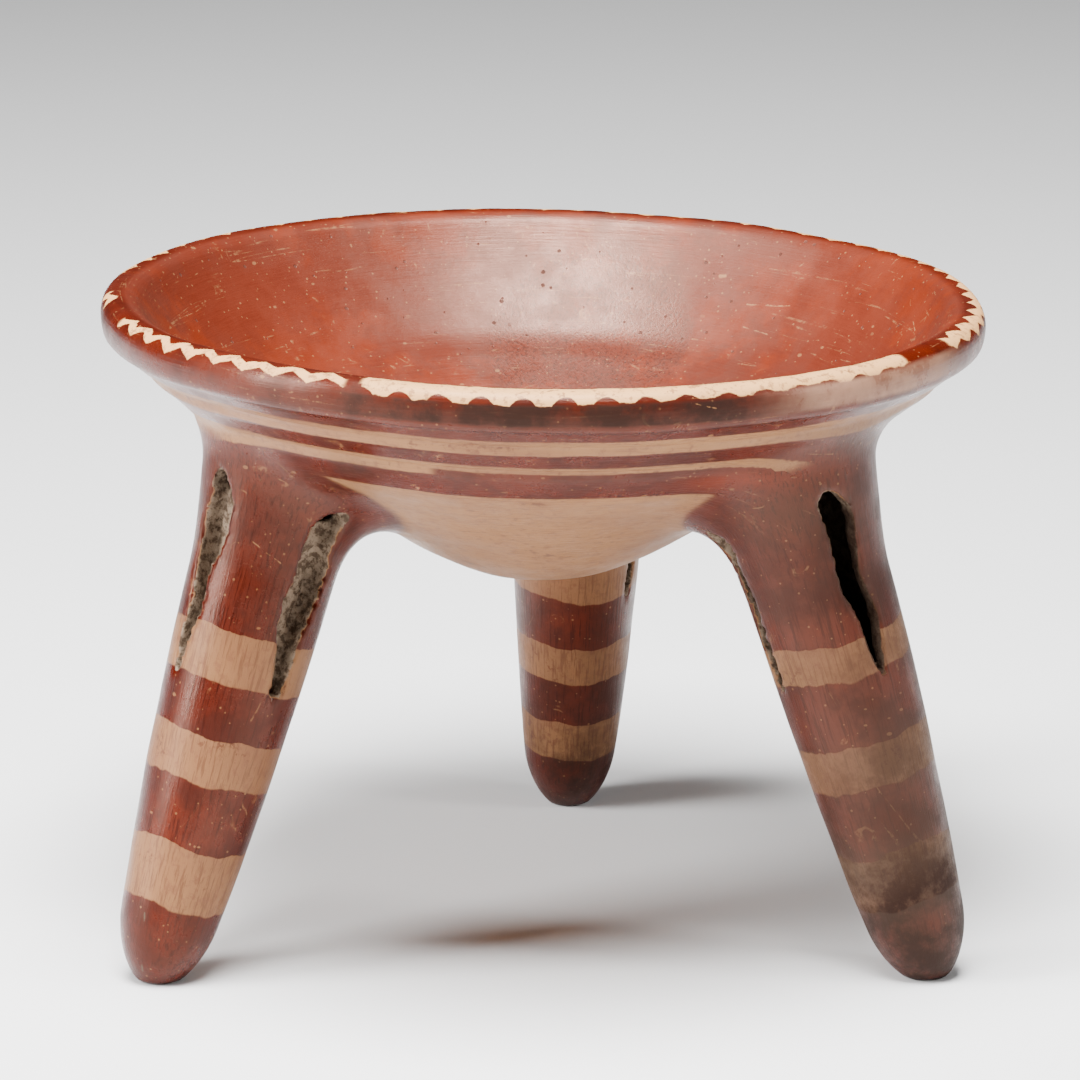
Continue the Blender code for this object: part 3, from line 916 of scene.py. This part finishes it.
def painted_clay():
    """Red and cream slips with strokes and wear, soot, ash, scratches, painted shade and a painted
    highlight, and bare clay in the slits.
    """
    g = Graph("painted_clay")
    place = g.place()
    run = g.attribute("run")
    near_leg = g.attribute("near_leg")
    web = g.attribute("web")
    cut = g.attribute("cut")
    stripe = g.attribute("stripe")
    grain = g.attribute("grain", vector=True)
    soot_and_shade = g.attribute("soot_and_shade")
    ash_and_shade = g.attribute("ash_and_shade")
    warm = g.attribute("warm")

    # Noises shared by the slips: specks, blotches, strokes round the bowl and down the legs
    specks = g.noise(place, 480.0, 4.0, 0.7)
    blotch = g.noise(place, 85.0, 5.0, 0.65)
    cloud = g.noise(place, 24.0, 4.0, 0.6)
    lumps = g.noise(place, 130.0, 2.0, 0.5)
    x, y, z = g.parts(place)
    radius = g.math("SQRT", g.add(g.times(x, x), g.times(y, y)))
    around = g.vector(g.math("DIVIDE", x, radius), g.math("DIVIDE", y, radius), 0.0)
    ring = g.stretched(around, (3.0, 3.0, 3.0), g.vector(0.0, 0.0, g.times(run, 0.55)))
    rings = g.noise(ring, 2.6, 4.0, 0.7)
    strokes = g.noise(g.scaled(grain, (1.0, 1.0, 0.05)), 1.3, 4.0, 0.7)
    on_leg = g.step(near_leg, 1.0, 7.0, 1.0, 0.0)
    burnish = g.parts(g.mix(on_leg, rings, strokes))[0]
    inside = g.step(run, 0.5, 3.0)
    angle = g.math("ARCTAN2", x, g.times(y, -1.0))

    # Where the cream slip lies on the bowl: two turned lines, the underside, and the ribbon on the lip
    wave = g.add(g.times(g.add(cloud, -0.5), 1.8), g.times(g.add(blotch, -0.5), 1.2))
    level = g.add(run, wave)
    line_one = g.band(level, *LINE_ONE, 0.25)
    line_two = g.band(level, *LINE_TWO, 0.25)
    wide_two = g.times(g.band(level, *WIDE_LINE_TWO, 0.25), g.step(angle, -0.32, -0.28, 1.0, 0.0))
    line_two = g.math("MAXIMUM", line_two, wide_two)
    lines = g.math("MAXIMUM", line_one, line_two)
    lines = g.times(lines, g.step(near_leg, 0.5, 1.8))
    under = g.step(level, UNDERSIDE_EDGE - 0.3, UNDERSIDE_EDGE + 0.3, 1.0, 0.0)
    under = g.times(under, g.step(g.add(web, g.times(g.add(burnish, -0.5), 0.5)), 0.85, 1.15))
    lip_cream = ribbon(g, run, angle, specks, lumps)

    # Stripes round the legs: red and cream in turn, with slowly wavering edges
    slow = g.noise(g.scaled(grain, (1.0, 1.0, 0.3)), 0.08, 2.0)
    quick = g.noise(g.scaled(grain, (1.0, 1.0, 0.5)), 0.9, 3.0)
    waver = g.add(g.times(g.add(slow, -0.5), 0.36), g.times(g.add(quick, -0.5), 0.035))
    turn = g.math("WRAP", g.add(stripe, waver), 2.0)
    turn.node.inputs[2].default_value = 0.0
    leg_cream = g.band(turn, 1.0, 2.0, 0.02)
    leg_cream = g.times(leg_cream, g.band(stripe, 0.6, 6.4, 0.05))
    leg_cream = g.times(leg_cream, g.step(near_leg, 2.0, 3.0, 1.0, 0.0))
    cream = g.math("MAXIMUM", g.math("MAXIMUM", lines, under), g.math("MAXIMUM", leg_cream, lip_cream))
    worn = g.times(g.step(blotch, 0.56, 0.66), g.step(specks, 0.50, 0.60))
    cream = g.times(cream, g.math("SUBTRACT", 1.0, g.times(worn, 0.55)))

    # Red slip
    red = g.mix(g.step(cloud, 0.38, 0.62), RED, DULL_RED)
    red = g.mix(g.times(inside, 0.75), red, INNER_RED)
    red = g.mix(g.times(g.step(blotch, 0.42, 0.62), g.add(0.65, g.times(inside, -0.35))), red, DARK_RED)
    red = g.mix(g.times(g.step(burnish, 0.42, 0.68), 0.4), red, RED)
    glow = g.times(g.step(g.noise(place, 34.0, 5.0, 0.7), 0.48, 0.60), g.add(0.25, g.times(inside, 0.5)))
    red = g.mix(glow, red, ORANGE_RED)
    red = g.mix(g.times(warm, g.step(blotch, 0.35, 0.60, 0.35, 1.0)), red, ORANGE_RED)
    streak = g.times(g.step(strokes, 0.50, 0.62), on_leg)
    red = g.mix(g.times(streak, 0.75), red, DARK_RED)
    dust = g.spots(place, 900.0, 0.22, 0.20)
    bits = g.spots(g.scaled(place, (0.6, 0.6, 1.0)), 560.0, 0.20, 0.07)
    hair = g.math("MAXIMUM", g.hairs(ring, 1.1, 0.014, 0.60), g.hairs(place, 170.0, 0.013, 0.62))
    red = g.mix(g.times(g.math("MAXIMUM", dust, bits), 0.50), red, CREAM)
    red = g.mix(g.times(hair, g.times(g.step(specks, 0.42, 0.62), 0.52)), red, CREAM)

    # Cream slip
    slip = g.mix(leg_cream, CREAM, LEG_CREAM)
    pale = g.mix(g.step(cloud, 0.40, 0.70), slip, PINK_CREAM)
    pale = g.mix(g.times(g.step(burnish, 0.36, 0.58), 0.70), pale, slip)
    pale = g.mix(g.times(g.step(burnish, 0.50, 0.64), 0.55), pale, PINK_CREAM)
    streaks = g.times(g.step(strokes, 0.47, 0.60), leg_cream)
    pale = g.mix(g.times(streaks, 0.50), pale, STREAK_BROWN)
    pale = g.mix(g.times(lip_cream, 0.9), pale, PALE_CREAM)
    pale = g.mix(g.times(g.step(specks, 0.52, 0.64), 0.60), pale, PINK_CREAM)
    # Ash grey on the cream, on the right leg partly painted shade
    pale = g.mix(g.times(ash_and_shade, 0.75), pale, GREY)
    paint = g.mix(cream, red, pale)

    # Soot, painted shade under the lip and in its crease, a painted highlight on the lip, and marks
    patchy = g.step(g.add(blotch, g.times(specks, 0.4)), 0.50, 0.80, 0.45, 1.0)
    # Painted shade: a dark band on the lip's outer face below the ribbon, in front only, mottled
    band = g.times(g.band(level, *LIP_SHADE_BAND, 0.5), g.band(angle, *LIP_SHADE_FRONT, 0.12))
    band = g.times(band, g.math("SUBTRACT", 1.0, lip_cream))
    # Painted highlight: pale pink on the lip's outer face to the right of the front, mottled by the
    # blotches
    painted_highlight = g.times(g.band(level, *PAINTED_HIGHLIGHT_BAND, 0.8), g.band(angle, *PAINTED_HIGHLIGHT_FRONT, 0.14))
    painted_highlight = g.times(painted_highlight, g.step(blotch, 0.30, 0.60, 0.25, 0.75))
    paint = g.mix(painted_highlight, paint, LIP_PAINTED_HIGHLIGHT)
    # Soot stains and painted shade together, darkened towards near-black brown
    soot_and_painted_shade = g.times(g.math("MINIMUM", g.add(soot_and_shade, g.times(band, 0.90)), 1.0), patchy)
    paint = g.mix(soot_and_painted_shade, paint, SOOT_AND_SHADE_BROWN)
    # Painted shade: dark red in the crease under the lip
    paint = g.mix(g.times(g.band(level, *CREASE_SHADE, 0.5), 0.6), paint, DARK_RED)
    # Ash grey on the red, on the right leg partly painted shade
    paint = g.mix(g.times(g.times(ash_and_shade, 0.4), g.math("SUBTRACT", 1.0, cream)), paint, GREY)
    pits = g.times(g.spots(place, 470.0, 0.20, 0.13), g.step(run, 2.0, 5.0))
    paint = g.mix(g.times(pits, 0.7), paint, DARK_RED)
    wander = g.stretched(g.vector(lumps, specks, blotch), (0.0012, 0.0012, 0.0012), place)
    paint = g.mix(g.times(g.segments(wander, SCRATCHES), 0.7), paint, CREAM)
    paint = g.mix(g.segments(wander, CRACKS), paint, RAW_DARK)

    # Bare clay in the slits and hollows, with a thin pale broken edge to the slip
    clay = g.mix(g.step(specks, 0.42, 0.60), RAW_CLAY, RAW_DARK)
    clay = g.mix(g.times(g.step(cut, 0.05, 0.30), g.step(lumps, 0.45, 0.55)), clay, CREAM)
    # Soot in the bare clay, on the right leg partly painted shade
    clay = g.mix(g.math("MINIMUM", g.times(soot_and_shade, 1.8), 0.85), clay, SOOT_AND_SHADE_BROWN)
    bare = g.step(g.add(cut, g.times(g.add(lumps, -0.5), 0.5)), 0.30, 0.45, 1.0, 0.0)
    colour = g.mix(bare, paint, clay)
    g.feed(g.shader.inputs["Base Color"], colour)

    # Burnished red is smoother than cream, and rough where soot and painted shade, pits or bare clay lie
    gloss = g.add(0.24, g.times(g.step(blotch, 0.35, 0.65), 0.12))
    gloss = g.add(gloss, g.times(inside, 0.14))
    gloss = g.add(gloss, g.times(cream, 0.12))
    gloss = g.add(gloss, g.times(g.math("MAXIMUM", pits, soot_and_painted_shade), 0.3))
    gloss = g.add(gloss, g.times(bare, 0.5))
    g.feed(g.shader.inputs["Roughness"], gloss)
    g.feed(g.shader.inputs["Specular IOR Level"], g.add(0.27, g.times(inside, 0.43)))
    g.shader.inputs["Specular Tint"].default_value = (1.0, 0.68, 0.53, 1.0)

    # Low relief of specks, burnishing strokes, lumps, pits and crumbly bare clay
    height = g.add(g.times(specks, 0.14), g.times(burnish, 0.30))
    height = g.add(height, g.times(lumps, 0.25))
    height = g.add(height, g.times(pits, -0.5))
    height = g.add(height, g.times(g.times(bare, g.noise(place, 600.0, 3.0, 0.7)), 1.8))
    bump = g.nodes.new("ShaderNodeBump")
    bump.inputs["Strength"].default_value = 0.5
    bump.inputs["Distance"].default_value = 0.0006
    g.feed(bump.inputs["Height"], height)
    g.feed(g.shader.inputs["Normal"], bump.outputs[0])
    return g.material


def studio_material(name, colour, roughness):
    g = Graph(name)
    mottle = g.noise(g.place(), 3.0, 2.0)
    g.feed(g.shader.inputs["Base Color"], g.mix(mottle, colour, tuple(c * 0.985 for c in colour)))
    g.shader.inputs["Roughness"].default_value = roughness
    return g.material


def floor():
    bpy.ops.mesh.primitive_plane_add(size=12.0, location=(0, 2.0, -0.0002))
    obj = bpy.context.object
    obj.name = "floor"
    obj.data.materials.append(studio_material("floor_paper", (0.80, 0.80, 0.80), 0.75))


def area_light(name, place, target, size, power):
    data = bpy.data.lights.new(name, "AREA")
    data.shape = "RECTANGLE"
    data.size = size[0]
    data.size_y = size[1]
    data.energy = power
    obj = bpy.data.objects.new(name, data)
    obj.location = place
    aim = Vector(target) - Vector(place)
    obj.rotation_euler = aim.to_track_quat("-Z", "Y").to_euler()
    bpy.context.scene.collection.objects.link(obj)


# Soft lights: place, where they aim, width and height in metres, and watts
LIGHTS = {
    "soft_top": ((-0.06, -0.30, 1.15), (0.0, 0.0, 0.12), (0.56, 0.60), 70.0),
    "soft_left": ((-1.15, -0.42, 0.58), (0.0, 0.0, 0.09), (0.42, 1.00), 44.0),
    "soft_right": ((1.15, -0.42, 0.50), (0.0, 0.0, 0.09), (0.18, 0.80), 9.0),
}
WORLD_COLOUR = (0.9, 0.9, 0.92, 1.0)
WORLD_STRENGTH = 0.03


def studio():
    floor()
    for name, values in LIGHTS.items():
        area_light(name, *values)
    world = bpy.data.worlds.new("studio_world")
    world.use_nodes = True
    background = world.node_tree.nodes["Background"]
    background.inputs["Color"].default_value = WORLD_COLOUR
    background.inputs["Strength"].default_value = WORLD_STRENGTH
    bpy.context.scene.world = world


# Camera, as fitted to the rim, the legs and the feet in the photograph
CAMERA_PLACE = (-0.00087, -1.414, 0.4624)
CAMERA_PITCH = 14.465
CAMERA_LENS = 195.17


def camera():
    data = bpy.data.cameras.new("camera")
    data.sensor_width = 36.0
    data.lens = CAMERA_LENS
    data.clip_end = 30.0
    obj = bpy.data.objects.new("camera", data)
    obj.location = CAMERA_PLACE
    obj.rotation_euler = (math.radians(90 - CAMERA_PITCH), 0, 0)
    bpy.context.scene.collection.objects.link(obj)
    bpy.context.scene.camera = obj


camera()
vessel = vessel_mesh()
add_paint_coordinates(vessel)
vessel.data.materials.append(painted_clay())
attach(vessel, "root")
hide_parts(NODE)
studio()

bpy.context.view_layer.update()
